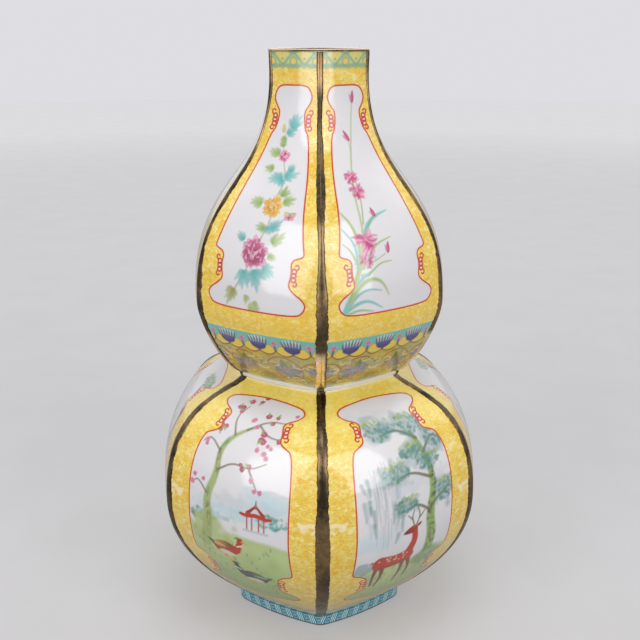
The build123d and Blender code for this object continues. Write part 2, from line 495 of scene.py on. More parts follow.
def irisBloom(canvas, centre, size, angle, seed):
    # An iris: pale crinkled petals under thin deep rose ones.
    rng = np.random.default_rng(seed)
    for turn, long, wide in ((150, 1.0, 0.6), (40, 0.9, 0.55), (-75, 1.15, 0.65), (-115, 1.0, 0.55),
                             (-20, 0.9, 0.5)):
        shade = rng.uniform(0.92, 1.08)
        petal(canvas, centre, turn + angle, size * long, size * wide, enamel["rose"] * shade,
              enamel["paleRose"] * shade, 0.75, soft=0.7, full=0.8, edge=0.3)
    for number in range(13):
        turn = angle + rng.uniform(0, 360)
        start = ahead(centre, turn, size * rng.uniform(0, 0.3))
        middle = ahead(start, turn + rng.uniform(-30, 30), size * 0.45)
        stroke(canvas, [start, middle, ahead(middle, turn + rng.uniform(-90, 90), size * 0.4)],
               (0.4, 1.15, 0.5), "deepRose" if number % 3 == 0 else "rose", 0.7, 0.6)
    for _ in range(5):
        turn = angle + rng.uniform(0, 360)
        stroke(canvas, [centre, ahead(centre, turn, size * 0.8)], (0.5, 0.2), "paleRose", 0.6)


def paintPeonies(canvas):
    stem = [(-12.5, 63), (-8.5, 70), (-4, 77), (1, 92), (4, 102), (3, 114), (5, 124), (0, 136), (-3, 148),
            (3, 158)]
    stroke(canvas, stem, (1.0, 0.8, 0.6, 0.4), "stem", 0.75)
    for row in (
            ((-6.5, 75), -92, 10, "teal"), ((0, 76), -74, 11.5, "teal"), ((5, 78), -35, 8, "teal"),
            ((-12, 65), -122, 9.5, "olive"), ((-3.8, 62.5), -97, 5, "moss"), ((-2.5, 55.6), 14, 7.5, "moss"),
            ((0.5, 60), -60, 4.5, "moss"), ((-9, 90), 130, 6, "teal"), ((8, 90), 50, 8, "leaf"),
            ((7, 84), -30, 5, "leaf"), ((2, 97), 165, 6, "leaf"), ((5, 97), 35, 8, "teal"),
            ((3, 98), -60, 5, "teal"), ((-4, 110), 170, 8, "leaf"), ((8, 112), 10, 7, "leaf"),
            ((6, 115), 70, 7, "leaf"), ((3, 125), 190, 9, "teal"), ((4, 126), 15, 8, "teal"),
            ((3, 124), -80, 5, "teal"), ((6, 129), 70, 5, "teal"), ((-4, 130), 185, 6, "leaf"),
            ((-3, 138), 165, 7, "leaf"), ((-2, 142), 95, 5, "leaf"), ((-1, 149), 20, 6, "teal"),
            ((1, 152), 50, 9, "teal"), ((-2, 147), 250, 5, "leaf")):
        leafSpray(canvas, *row)
    fullBloom(canvas, (-1.5, 84.5), 8.0, "deepRose", "paleRose", 5)
    fullBloom(canvas, (2.5, 109), 5.6, "amber", "yellow", 6, 3)
    fullBloom(canvas, (0, 137), 3.2, "rose", "paleRose", 7, 2)
    petal(canvas, (-3.2, 149), 95, 5, 2.2, "moss", "yellow", 0.85, soft=0.6)
    for side, tip in ((-1, "yellow"), (1, "amber")):  # a butterfly
        petal(canvas, (13.5, 104), 90 - 50 * side, 4.2, 3.2, "lilac", tip, 0.8, edge=0.4)
        petal(canvas, (13.5, 104), 90 - 115 * side, 3.2, 2.2, "rose", "paleRose", 0.8, edge=0.4)
    stroke(canvas, [(13.5, 102.4), (13.5, 105.8)], (0.6, 0.4), "bark")


def paintIrises(canvas):
    for path, width, kind in (
            ([(-27, 55), (-22, 65), (-16, 73), (-8, 77)], 2.6, "teal"),
            ([(-25, 56), (-19, 68), (-11, 73), (-4, 71), (0, 63)], 2.3, "leaf"),
            ([(-25, 57), (-20, 64), (-13, 68), (-4, 66)], 1.6, "teal"),
            ([(-25, 57), (-19, 61), (-12, 62), (-4, 57)], 1.9, "teal"),
            ([(-26, 55), (-18, 58), (-9, 56)], 1.4, "leaf"),
            ([(-23, 62), (-18, 74), (-12, 83)], 1.9, "leaf"),
            ([(-20, 70), (-14, 84), (-15, 99), (-21, 109)], 2.0, "leaf"),
            ([(-17, 78), (-16, 90), (-22, 99)], 1.4, "teal"),
            ([(-17, 80), (-19, 87), (-23, 91)], 1.1, "leaf"),
            ([(-14, 84), (-9, 97), (-3, 103), (7, 106)], 2.4, "teal"),
            ([(-14, 78), (-6, 89), (5, 92)], 1.2, "leaf"),
            ([(-12, 74), (-4, 80), (3, 80)], 0.9, "leaf")):
        stroke(canvas, path, (width * 0.7, width * 1.1, width * 0.8, 0.3), paler(kind), 0.9, 0.6)
        stroke(canvas, path, (0.6, 0.5, 0.1), kind, 0.8)
    green = enamel["grass"] * 0.85
    strokes(canvas,
            ([(-22, 60), (-15, 80), (-10, 98), (-9, 114), (-5, 130), (0, 146), (3.5, 166)],
             (1.3, 1.1, 0.9, 0.6), green, 0.9),
            ([(-9, 100), (-6, 112), (-5, 122)], (0.8, 0.6), "leaf", 0.8),
            ([(-4, 133), (-2, 140), (-2, 146)], (0.7, 0.5), green, 0.9),
            ([(-7, 98), (-2, 104)], (0.6, 0.5), "leaf", 0.8),
            ([(-9, 80), (0, 84)], (0.6, 0.5), "leaf", 0.8))
    for row in (((-10, 92), 7.2, 12, 1), ((-11, 83), 4.6, -20, 2),
                ((-6, 118), 5.0, 15, 3), ((-7, 126), 4.2, 50, 4)):
        irisBloom(canvas, *row)
    for base, angle, length in (((3.4, 164), 85, 6.5), ((-1.4, 145), 115, 6.5), ((-1, 103), 105, 5.5),
                                ((1.5, 84), 80, 6)):
        petal(canvas, base, angle, length, 2.0, "deepRose", "rose", 0.9)
        petal(canvas, base, angle + 24, length * 0.8, 1.4, "rose", "paleRose", 0.8)
    rng = np.random.default_rng(12)
    for number in range(26):  # loose buds under the large flower
        place = (-12 + rng.normal(0, 3), 80 + rng.normal(0, 3.4))
        stroke(canvas, [place, ahead(place, rng.uniform(0, 360), 0.6)], (0.9,),
               ("rose", "paleTeal", "paleLeaf")[number % 3], 0.7)


def tufts(canvas, top, count, seed):
    # Grass on the near ground, up to its top.
    rng = np.random.default_rng(seed)
    for _ in range(count):
        x, s = rng.uniform(-28, 28), rng.uniform(34, top)
        for lean in rng.uniform(-0.9, 0.9, 3):
            stroke(canvas, [(x, s), (x + lean, s + rng.uniform(0.6, 1) * 2.6)], (0.4, 0.2), "deepLeaf", 0.55)


def stipple(canvas, centre, size, count, colours, seed, dot=(1.0, 1.8), cover=0.6):
    # A mass of leaves as many small dabs.
    rng = np.random.default_rng(seed)
    for _ in range(count):
        far, turn = math.sqrt(rng.random()), rng.uniform(0, 2 * math.pi)
        place = (centre[0] + size[0] * far * math.cos(turn), centre[1] + size[1] * far * math.sin(turn))
        end = (place[0] + rng.uniform(-0.6, 0.6), place[1] + rng.uniform(-0.3, 0.6))
        stroke(canvas, [place, end], (rng.uniform(*dot),), colours[rng.integers(len(colours))], cover, 0.7)


def meadow(canvas, top, seed):
    # The near ground: a green wash up to a wandering edge, paler towards it.
    x, s = canvas["x"], canvas["s"]
    edge = top + 5 * (mottle(x, 9.0, 16, seed) - 0.5) + 1.6 * (mottle(x, s, 5, seed + 1) - 0.5)
    where = np.nonzero(s < edge + 2)[0]
    deep = np.clip((edge - s)[where] / 45, 0, 1)[:, None]
    green = enamel["grass"] * (1 - deep) + enamel["leaf"] * 1.15 * deep
    green = green * (0.9 + 0.2 * mottle(x, s, 7, seed + 2)[where, None])
    lay(canvas, where, 0.95 * np.clip((edge - s)[where] / 2.2, 0, 1), green)


def trunkPlaces(trunk, rng, count, run, spread):
    # Places along a trunk, scattered across it, less so towards its top.
    across, up = zip(*trunk)
    for _ in range(count):
        t = rng.uniform(0, run)
        x = np.interp(t, range(len(trunk)), across) + rng.uniform(-spread, spread) * (1 - t / 7)
        yield int(t), x, np.interp(t, range(len(trunk)), up)


def lakeside(canvas):
    daubs(canvas, 0.5, 0.9, ((6, 103), (24, 4), "mist", 21), ((20, 108), (12, 5), "water", 22),
          ((-6, 98), (22, 2.5), "water", 23), ((14, 95), (18, 2.2), "water", 24),
          ((-18, 92), (14, 3), "teal", 25))
    stipple(canvas, (22, 97), (9, 4), 60, ("pine", "teal", "foliage"), 26)
    stipple(canvas, (-22, 90), (9, 4), 60, ("foliage", "pine", "deepLeaf"), 27)
    meadow(canvas, 84, 30)
    daub(canvas, (-16, 84), (14, 7), "moss", 0.85, 31, 0.5)
    # Pavilion on the far bank
    for x in (7.5, 10.5, 14.5, 17.5):
        stroke(canvas, [(x, 90), (x, 97.5)], (0.8,), "rust")
    strokes(canvas,
            ([(5.5, 89.6), (19.5, 89.6)], (1.4,), "mist"),
            ([(3.6, 98.6), (7, 98), (12.5, 99.4), (18, 98), (21.4, 98.6)], (1.6, 2.4, 1.6), "rust"),
            ([(8, 99.8), (12.5, 104.5), (17, 99.8)], (2.6, 1.0, 2.6), "rust"),
            ([(7.4, 100.4), (10, 101.4), (12.5, 105.4), (15, 101.4), (17.6, 100.4)], (0.6,), "deepRust"),
            ([(12.5, 105), (12.5, 107.2)], (0.8, 0.5), "deepRust"))
    # Old tree that leans over from the left, with blossom
    trunk = [(-21, 74), (-17, 88), (-19, 102), (-13, 116), (-14, 128), (-8, 138), (4, 146)]
    stroke(canvas, trunk, (8.5, 6.5, 5, 4, 3, 2, 1.2), enamel["moss"] * 0.85, 0.95, 1.0)
    rng = np.random.default_rng(41)
    for i, x, s in trunkPlaces(trunk, rng, 46, 4.6, 2):
        stroke(canvas, [(x, s), (x + rng.uniform(-0.6, 0.6), s + rng.uniform(1.5, 4))], (0.7, 0.3),
               "bark" if i % 2 else "foliage", 0.6)
    for path in ([(-13, 118), (-4, 124), (6, 122), (15, 127)], [(-14, 128), (-22, 134), (-26, 130)],
                 [(-8, 138), (-12, 148), (-8, 156)], [(-2, 142), (8, 150), (18, 150)],
                 [(4, 146), (12, 140), (22, 141)], [(6, 122), (10, 116), (12, 112)],
                 [(-19, 104), (-25, 110), (-28, 108)]):
        stroke(canvas, path, (1.3, 0.9, 0.5), "bark", 0.85)
    clusters = ((-24, 132), (-10, 154), (0, 147), (10, 150), (19, 148), (22, 140), (12, 127), (4, 124),
                (11, 114), (-2, 160), (-27, 110), (-16, 142), (16, 134), (8, 140))
    for number in range(3 * len(clusters)):
        x, s = clusters[number % len(clusters)]
        place = (x + rng.normal(0, 2.6), s + rng.normal(0, 2.2))
        smallBloom(canvas, place, rng.uniform(1.3, 2.0), "deepRose" if number % 3 else "rose",
                   "rose" if number % 2 else "paleRose", number)
        if number % 2:
            angle = rng.uniform(0, 360)
            petal(canvas, place, angle, 3, 1.3, "leaf", "paleLeaf", 0.85, soft=0.7, full=0.9, edge=0.2)
            stroke(canvas, [place, ahead(place, angle, 2.55)], (0.3, 0.15), "deepLeaf", 0.5)
    tufts(canvas, 80, 90, 44)
    duck(canvas, (-6, 71), 1, 1.6, "rust", "amber")
    duck(canvas, (5, 52), -1, 1.6, "ink", "foliage")


def figureAt(place, scale, way=1):
    # Turns a figure's own points into places on the side; way is -1 where it faces left.
    def at(*points):
        return [(place[0] + x * way * scale, place[1] + s * scale) for x, s in points]

    return at


def duck(canvas, place, way, scale, body, wing):
    at = figureAt(place, scale, way)

    def feather(base, angle, length, width, *look):
        angle = angle if way > 0 else 180 - angle
        petal(canvas, at(base)[0], angle, length * scale, width * scale, *look)

    for x in (-1.2, 1.0):
        strokes(canvas, (at((x, -1), (x + 0.4, -3.2)), (0.7, 0.5), "amber"),
                (at((x - 0.2, -3.3), (x + 1.2, -3.4)), (0.5,), "amber"))
    stroke(canvas, at((-4.4, 1.2), (-8, 3.4)), (2.6 * scale, 0.6), "ink")
    feather((-5.8, 1.0), 4, 11, 6.2, enamel[body] * 0.8, body, 1, 0.4, 0.8)
    feather((-4, -0.6), -2, 7, 2.2, "cream", "white", 0.7, 0.9)
    feather((-5.4, 2.2), 8, 7.4, 3.2, wing, "ink", 0.95)
    for number in range(4):
        start = at((-5 + 1.3 * number, 2.0))[0]
        stroke(canvas, [start, (start[0] - 1.8 * way * scale, start[1] + 0.7)], (0.5, 0.2), "white", 0.6)
    strokes(canvas,
            (at((3.8, 2), (5.0, 5), (5.4, 6.4)), (2.8 * scale, 1.9 * scale, 2.5 * scale), body),
            (at((4.4, 7.4), (3.2, 6.8)), (1.2, 0.4), "foliage"),
            (at((6.2, 6.3), (8.2, 5.8)), (1.2, 0.5), "amber"),
            (at((4.0, 3.6), (5.8, 4.4)), (0.8,), "white"),
            (at((5.6, 6.9), (5.7, 6.9)), (0.6,), "ink"))


def pineGorge(canvas):
    daubs(canvas, 0.4, 0.9, ((-14, 150), (14, 5), "mist", 51), ((4, 112), (18, 5), "mist", 52),
          ((-20, 84), (12, 5), "water", 53))
    # Waterfall between pale rocks
    rng = np.random.default_rng(55)
    for edge, lean in ((-24, 1.5), (-7, -1.5)):
        for _ in range(14):
            x, s = edge + rng.normal(0, 1.6), rng.uniform(84, 124)
            stroke(canvas, [(x, s), (x + lean * rng.uniform(0, 1), s - rng.uniform(4, 10))], (2.4, 1.0),
                   "pine" if rng.random() < 0.4 else "mist", 0.55, 1.2)
    for _ in range(34):
        x, s = rng.uniform(-21, -9), rng.uniform(92, 128)
        stroke(canvas, [(x, s), (x + 0.4, s - 8), (x + 0.2, s - rng.uniform(12, 22))], (0.6, 0.4, 0.2),
               enamel["mist"] * rng.uniform(0.6, 1), 0.6)
    # Pine on the right
    trunk = [(15, 58), (17, 76), (14, 92), (18, 108), (15, 124), (10, 138)]
    stroke(canvas, trunk, (9, 7, 6, 4.5, 3, 2), "leaf", 0.95, 1.0)
    for _, x, s in trunkPlaces(trunk, rng, 90, 4.2, 2.6):
        end = (x + rng.uniform(-0.7, 0.7), s + rng.uniform(-0.8, 0.8))
        stroke(canvas, [(x, s), end], (rng.uniform(0.7, 1.6),),
               "ink" if rng.random() < 0.6 else "deepLeaf", 0.6)
    for path in ([(16, 112), (4, 118), (-6, 116)], [(14, 126), (22, 134), (27, 130)],
                 [(15, 96), (24, 102), (29, 98)], [(14, 94), (6, 100), (0, 98)],
                 [(12, 134), (2, 142), (-8, 140)]):
        stroke(canvas, path, (2, 1.4, 0.7), "bark", 0.9)
    for centre, size, seed in (((-6, 119), (9, 5), 61), ((24, 132), (7, 6), 62), ((26, 102), (6, 7), 63),
                               ((-1, 101), (7, 4), 64), ((-8, 143), (9, 6), 65), ((10, 143), (10, 6), 66),
                               ((16, 121), (8, 4), 67), ((6, 128), (7, 4), 68)):
        (x, s), (wide, tall) = centre, size
        daub(canvas, centre, (wide * 1.1, tall * 1.1), "pine", 0.55, seed, 0.7)
        stipple(canvas, centre, size, 70, ("pine", "deepTeal", "foliage"), seed, cover=0.5)
        stipple(canvas, (x, s + tall * 0.9), (wide, 1.6), 16, ("leaf", "moss"), seed + 9)
    meadow(canvas, 66, 70)
    daubs(canvas, 0.6, 0.6, ((22, 60), (12, 6), "foliage", 71), ((-26, 66), (8, 5), "pine", 72))
    tufts(canvas, 62, 80, 73)
    deer(canvas, (-6, 60), 1.22)


def deer(canvas, place, scale):
    at = figureAt(place, scale)

    def draw(points, widths, *look):
        stroke(canvas, at(*points), [scale * width for width in widths], *look)

    for thigh, shin, *leg in ((3, 1.5, (-9, 4), (-9.5, -2), (-8.5, -10)),
                              (3, 1.5, (-6, 3), (-5, -3), (-6, -11)),
                              (2.6, 1.4, (4.5, 3), (5, -4), (4, -12)),
                              (2.6, 1.4, (7.5, 4), (9.5, -3), (9, -10))):
        draw(leg, (thigh, shin, 0.9), "deepRust", 0.95)
    draw(((-7.5, 6.5), (0, 6), (6, 7)), (8.4, 7, 7.4), "rust", 1, 0.8)
    draw(((-7, 3.6), (0, 3), (6, 4)), (2.2, 1.6, 2), "deepRust", 0.45, 1.6)
    draw(((6.5, 9), (9, 15), (8.5, 20)), (5, 3.4, 3), "rust", 1)
    petal(canvas, at((10, 21.6))[0], 192, 8 * scale, 3.6 * scale, "rust", "deepRust", 1, full=0.6)
    for antler in (((9, 22.6), (11.2, 27), (10, 31)), ((10.8, 26), (13.6, 28.6)),
                   ((8, 22.6), (6.6, 27), (8, 30.6)), ((7, 26), (4.6, 28.4))):
        stroke(canvas, at(*antler), (1.0, 0.6), "bark", 0.95)
    petal(canvas, at((9.6, 22))[0], 30, 3 * scale, 1.4 * scale, "rust", "deepRust", 1)
    petal(canvas, at((-11.4, 9))[0], 220, 3.4 * scale, 2 * scale, "deepRust", "white", 0.95)
    rng = np.random.default_rng(56)
    for _ in range(16):
        x, s = rng.uniform(-9, 6), rng.uniform(6, 9.6)
        stroke(canvas, at((x, s), (x + 0.2, s)), (0.8,), "cream", 0.8)


def riverHills(canvas):
    daubs(canvas, 0.45, 0.8, ((-8, 120), (20, 9), "pine", 81), ((14, 112), (18, 8), "teal", 82),
          ((0, 104), (28, 4), "mist", 83), ((0, 92), (28, 5), "water", 84))
    for centre, size, seed in (((20, 96), (11, 7), 85), ((-22, 98), (8, 6), 86), ((24, 148), (8, 5), 87),
                               ((12, 154), (9, 4), 88), ((26, 136), (6, 5), 89)):
        daub(canvas, centre, size, "foliage", 0.5, seed, 0.7)
        stipple(canvas, centre, size, 70, ("foliage", "deepLeaf", "pine", "leaf"), seed, cover=0.55)
    strokes(canvas,
            ([(27, 92), (25, 110), (28, 126), (22, 140), (12, 150)], (4, 3, 2.4, 1.6, 1), "bark", 0.9),
            ([(26, 130), (30, 140)], (1.6, 1), "bark", 0.9))
    meadow(canvas, 78, 90)
    tufts(canvas, 72, 90, 91)
    # Boat
    stroke(canvas, [(-16, 88), (-10, 86), (-2, 86), (3, 89)], (1.0, 2.2, 2.2, 1.0), "bark", 0.95)
    petal(canvas, (-7.5, 87), 88, 16, 9, "cream", "amber", 0.9)
    stroke(canvas, [(-7.5, 86), (-7.2, 104)], (0.6,), "bark")
    for x, s in ((-8, 60), (2, 52), (12, 64)):
        daub(canvas, (x, s), (4, 2.4), enamel["mist"] * 0.8, 0.85, x + 99, 0.4)
        stipple(canvas, (x, s + 2), (3, 1.4), 8, ("rose", "rust"), x + 120, (0.8, 1.2), 0.9)


# Borders

lattice = {"low": 181.9, "high": 190.4, "period": 12.6}
garland = {
    "low": 29.6,          # where a garland hangs lowest, in mm up the side
    "span": 9.75,         # from a bloom to a bud
    "lobeRoot": 31.6, "lobeTall": 4.9,
    "lobePeak": 0.64,     # a lobe is tallest this far along the span
    "turquoise": (38.4, 41.9),
}


def band(canvas, low, high, colour, cover=1.0, soft=0.4):
    s = canvas["s"]
    amount = np.clip(0.5 + (s - low) / soft, 0, 1) * np.clip(0.5 + (high - s) / soft, 0, 1)
    where = np.nonzero(amount > 0)[0]
    lay(canvas, where, cover * amount[where], colour)


def wash(canvas, key, low, high, cover, first, last, colour):
    # Painted light: a paler wash over the yellow ground where it lies in shade near the waist, from nothing
    # at first to its full cover at last.
    s = canvas["s"]
    where = np.nonzero((s > low) & (s < high) & (tiers[key]["reserveGap"] < -0.9))[0]
    lay(canvas, where, cover * np.clip((s[where] - first) / (last - first), 0, 1), colour)


def latticeBorder(canvas):
    # Crossing lines with rings, under the lip.
    low, high, period = lattice["low"], lattice["high"], lattice["period"]
    x, s = canvas["x"], canvas["s"]
    band(canvas, low, high, "latticeGround", 0.9)
    where = np.nonzero((s > low - 1) & (s < high + 1))[0]
    across = x[where] / period
    cell = (across - np.round(across)) * period
    far = np.abs(cell) / period * 2
    tall = high - low
    up = (s[where] - low) / tall
    for level in (0.84 - 0.76 * far, 0.72 + 0.45 * far, 0.04 + 0.05 * far):
        lay(canvas, where, 0.85 * near(up - level, 1.5, 1 / tall), "lattice")
    away = np.hypot(cell, (up - 0.3) * tall)
    lay(canvas, where, 0.85 * near(away - 1.9, 1.3, 0.6), "lattice")
    lay(canvas, where, near(away, 1.7, 1), "yellow")
    other = (across - np.floor(across) - 0.5) * period
    lay(canvas, where, 0.8 * near(np.hypot(other, (up - 0.44) * tall), 1.2, 0.7), "garland")
    edge = low - 0.3 + 0.5 * np.cos(2 * np.pi * x[where] / 4.2)
    lay(canvas, where, 0.8 * near(s[where] - edge, 1, 0.45), "lattice")


def scrollBorder(canvas):
    # Scrolling leaves and rosettes under the garlands.
    band(canvas, -3, 38.8, "scrollGround", 0.97)
    rng = np.random.default_rng(11)
    for _ in range(150):
        place = (rng.uniform(-36, 36), rng.uniform(-1, 29))
        kind = ("olive", "moss", "olive", "amber", "yellow")[rng.integers(5)]
        petal(canvas, place, rng.uniform(-40, 40), rng.uniform(5, 9), rng.uniform(2, 3.5),
              enamel[kind] * 0.85, kind, 0.55, soft=1.2, edge=0.3)
    for side in (-1, 1):
        for middle, low, size in ((30, 18, 8), (22, 6, 7), (2, 6, 6), (12.5, 17, 11)):
            heart = (side * middle, low)
            for number, kind in enumerate(("lilac", "pine", "lilac", "foliage", "olive") * 2 + ("lilac",)):
                lean = 26 * number - 100
                petal(canvas, heart, 90 - side * (lean + 15), size * (1 - abs(lean - 10) / 420), size * 0.36,
                      enamel[kind] * 0.7, kind, 0.8, soft=0.7, edge=0.7)
            for lean in range(-90, 150, 40):
                petal(canvas, heart, 90 - side * lean, size * 0.5, size * 0.24,
                      enamel["rose"] * 0.6 + 0.1, "lilac", 0.75, soft=0.6, edge=0.5)
            curl = [ahead((side * middle, low + 1), 90 - side * (turn * 40 - 70), size * (1.12 - 0.06 * turn))
                    for turn in range(10)]
            stroke(canvas, curl, (1.0, 0.7, 0.4), enamel["garland"] * 0.9, 0.8, 0.6)
            daub(canvas, (side * middle, low + 0.6), (1.8, 1.4), "teal", 0.8, int(middle))
    for number in range(80):
        x, s = rng.uniform(-36, 36), rng.uniform(0, 28)
        turns = np.radians(rng.uniform(0, 360) + np.arange(0, 226, 45))
        curl = np.stack([x + 3.0 * np.cos(turns), s + 1.6 * np.sin(turns)], 1)
        stroke(canvas, curl, (0.8, 0.5), ("garland", "pine", "olive", "cream")[number % 4], 0.6, 0.6)


def garlandBorder(canvas):
    # Garlands with yellow lobes, fringed blue blooms and pink buds, under a turquoise band.
    x, s = canvas["x"], canvas["s"]
    span, peak = garland["span"], garland["lobePeak"]
    where = np.nonzero((s > 27) & (s < 39))[0]
    far, up = x[where] / span, s[where]
    share = far - np.floor(far)
    rise = np.where(np.floor(far).astype(int) % 2 == 0, share, 1 - share)  # 0 at a bloom, 1 at a bud
    sag = garland["low"] + (2 * share - 1) ** 2 * (1.9 + 1.2 * rise)
    lay(canvas, where, 0.97 * inside(sag - up, 0.5), "lobe")
    slope = np.where(rise < peak, (peak - rise) / 0.6, (rise - peak) / 0.32)
    lobe = garland["lobeRoot"] + garland["lobeTall"] * (1 - slope ** 2)
    above = up > sag
    lay(canvas, where, 0.95 * inside(lobe - up, 0.5) * above, "turquoise")
    lay(canvas, where, 0.7 * near(up - lobe, 1.2, 0.45) * above, enamel["olive"] * 0.7)
    lay(canvas, where, 0.95 * near(up - sag, 1.4, 0.5), enamel["garland"] * 0.6)
    band(canvas, *garland["turquoise"], "turquoise", 0.97, 0.6)
    for middle in (2 * span * np.arange(-2, 3)).tolist():
        stroke(canvas, [(middle, 33.6), (middle, 31.2)], (1.9, 1.1), enamel["garland"] * 0.8)
        cup = [(middle - 3.6, 34.8), (middle - 1.5, 33.7), (middle + 1.5, 33.7), (middle + 3.6, 34.8)]
        stroke(canvas, cup, (1.8, 3.6, 1.8), "navy")
        for lean in range(-3, 4):
            root, tip = (middle + lean * 1.2, 33.4 + 0.12 * lean * lean), enamel["navy"] * 0.6
            petal(canvas, root, 90 - 6 * lean, 7.4 - 0.4 * abs(lean), 1.8, "navy",
                  tip + enamel["lilac"] * 0.4, 0.95, edge=0.3)
        for lean in (-2.5, -1.5, -0.5, 0.5, 1.5, 2.5):
            root = ahead((middle + lean * 1.2, 33.6), 90 - 6 * lean, 3.4)
            stroke(canvas, [root, ahead(root, 90 - 6 * lean, 4.0 - 0.25 * abs(lean))], (0.4, 0.8),
                   enamel["white"] * 0.95, 0.75)
        for bud in (middle - span, middle + span):
            stroke(canvas, [(bud, 36), (bud, 32.4)], (1.0, 0.9), enamel["garland"] * 0.8)
            smallBloom(canvas, (bud, 37.4), 2.0, "rose", "paleRose", 3, 4)


def upperBorders(canvas):
    latticeBorder(canvas)
    scrollBorder(canvas)
    garlandBorder(canvas)
    # painted light: a paler yellow wash over the shaded lower part of the upper bulb
    wash(canvas, "upper", garland["turquoise"][1], 70, 0.3, 70, 50, "paintedLightUpper")


def lowerBorders(canvas):
    # painted light: a paler yellow wash over the top of the lower bulb, in the upper bulb's shade
    wash(canvas, "lower", 128, 200, 0.5, 128, 154, "paintedLightLower")
    band(canvas, 174.2, 200, "whiteRim", 0.97, 2.0)
    # painted shade: a brown wash darkens the bottom of the lower bulb
    band(canvas, -6, 5, "paintedShadeLow", 0.65, 9)
    for side in (-1, 1):  # cream clouds beside the ribs
        for path in ([(48, 99), (43, 100), (39, 98.6), (38, 96.6), (39.8, 95.8), (40.6, 97.2)],
                     [(48, 96.4), (45, 96.6), (43.6, 95.2)], [(38, 98.6), (36.2, 100)]):
            stroke(canvas, [(side * px, py) for px, py in path], (3.0, 2.0, 1.0), "cream", 0.8, 0.8)


# Reserves: half outlines, mirrored, with loops of red line set into their bays

reserves = {
    "upper": {
        "half": [(0, 173), (7.5, 173), (10.2, 170), (11, 166), (8.5, 161.8), (7.5, 160.6), (7.4, 157),
                 (8.8, 151), (10.9, 148.5), (14, 136), (17.5, 122), (20.3, 108), (23.4, 95), (25.3, 88),
                 (26, 85.3), (24.5, 84.2), (21.2, 83.3), (19.8, 81), (20.5, 77.5), (20.3, 74), (19.3, 69.7),
                 (22.5, 66.6), (26.8, 64), (29, 61), (27.5, 57.4), (24, 55), (0, 54.9)],
        "chains": [((9.6, 160.6), (10.2, 150.8)), ((22.0, 80.6), (21.8, 70.4))],
    },
    "lower": {
        "half": [(0, 164.8), (8, 164.3), (16, 162.8), (21, 161.3), (23.8, 158.5), (24, 156), (21.5, 153),
                 (18, 151.2), (16.4, 149.3), (16.8, 147), (18.2, 143.5), (18.3, 140.5), (19.3, 138.2),
                 (23, 136.2), (26, 134.8), (28.5, 129), (30.2, 120), (31, 110), (31.2, 100), (31.2, 88),
                 (31.2, 77), (31.1, 67), (30.8, 64.2), (29, 62.4), (25.5, 61.2), (22, 58.5), (20.3, 55),
                 (19.5, 50), (19.6, 46.5), (21.2, 44), (25.4, 43.3), (28, 40.2), (28.3, 37.6), (25, 34.2),
                 (17.7, 32.6), (8, 28.6), (0, 27.6)],
        "chains": [((18.6, 150.4), (20.6, 139.8)), ((22.6, 57.4), (21.6, 46.0))],
    },
    "line": 0.4,       # half the width of the red line, in mm
    "chainLine": 0.42,
    "ring": 1.2,
    "ringHole": 0.85,
    "ringGap": 0.4,    # a ring's hole is coloured as the reserve is this far from its line
}


def chainPaths(top, foot, side):
    # Three overlapping rings between curls that turn away from the picture.
    top, foot = np.array(top), np.array(foot)
    long = np.hypot(*(foot - top))
    way = (foot - top) / long
    aside = np.array([-way[1], way[0]]) * side

    def arc(along, across, first, last, start, end):
        turn, size = np.radians(np.linspace(start, end, 24)), np.linspace(first, last, 24)
        middle = top + long * along * way + across * aside
        return middle + (size * np.cos(turn))[:, None] * aside + (size * np.sin(turn))[:, None] * way

    rings = [arc(share, 0, reserves["ring"], reserves["ring"], 0, 360) for share in (0.3, 0.5, 0.7)]
    return rings, [arc(0.08, 1.0, 1.5, 0.8, 95, -150), arc(0.92, 0.8, 1.4, 0.8, -95, 150)]


def reserveGaps(tier, reserve):
    # How far each place is inside the reserve and from its red line, and which places stay bare.
    half = np.array(reserve["half"], float)
    outline = bend(np.vstack([half, half[-2:0:-1] * (-1, 1), half[:1]]), 2)
    x, s = tier["x"], tier["s"]
    gap = gapTo(x, s, outline, np.zeros(len(outline)))
    enclosed = np.zeros(len(x), bool)
    for (ax, ay), (bx, by) in zip(outline, outline[1:]):
        if ay != by:
            crossing = (ay > s) != (by > s)
            enclosed ^= crossing & (x < (bx - ax) * (s - ay) / (by - ay) + ax)
    line, bare = gap - reserves["line"], np.zeros(len(x), bool)
    for top, foot in reserve["chains"]:
        for side in (-1, 1):
            rings, curls = chainPaths((side * top[0], top[1]), (side * foot[0], foot[1]), side)
            for path in rings + curls:
                where = within(tier, path.min(0) - 1.5, path.max(0) + 1.5)
                chain = gapTo(x[where], s[where], path, np.full(len(path), reserves["chainLine"]))
                line[where] = np.minimum(line[where], chain)
            for path in rings:
                middle = path[:-1].mean(0)
                hole = np.hypot(x - middle[0], s - middle[1]) < reserves["ringHole"]
                enclosed |= hole
                bare |= hole
                gap[hole] = reserves["ringGap"]
    return np.where(enclosed, gap, -gap), np.clip(line, -2, 2), bare


painters = {
    "peonies": ("upper", paintPeonies), "irises": ("upper", paintIrises),
    "lakeside": ("lower", lakeside), "pineGorge": ("lower", pineGorge), "riverHills": ("lower", riverHills),
}
for key, tier in tiers.items():
    tier["reserveGap"], tier["redLine"], tier["bare"] = reserveGaps(tier, reserves[key])
canvases = {}
for name, (key, paint) in painters.items():
    tier = tiers[key]
    canvas = newCanvas(tier)
    paint(canvas)
    keep = inside(-tier["reserveGap"], 0.3) * ~tier["bare"]  # a picture ends at its reserve
    canvas["rgb"] *= keep[:, None]
    canvas["cover"] *= keep
    (upperBorders if key == "upper" else lowerBorders)(canvas)
    canvas["rgb"][tier["outside"] < 0.5] = 0
    canvas["cover"][tier["outside"] < 0.5] = 0
    canvases[name] = canvas
    print("painted:", name)


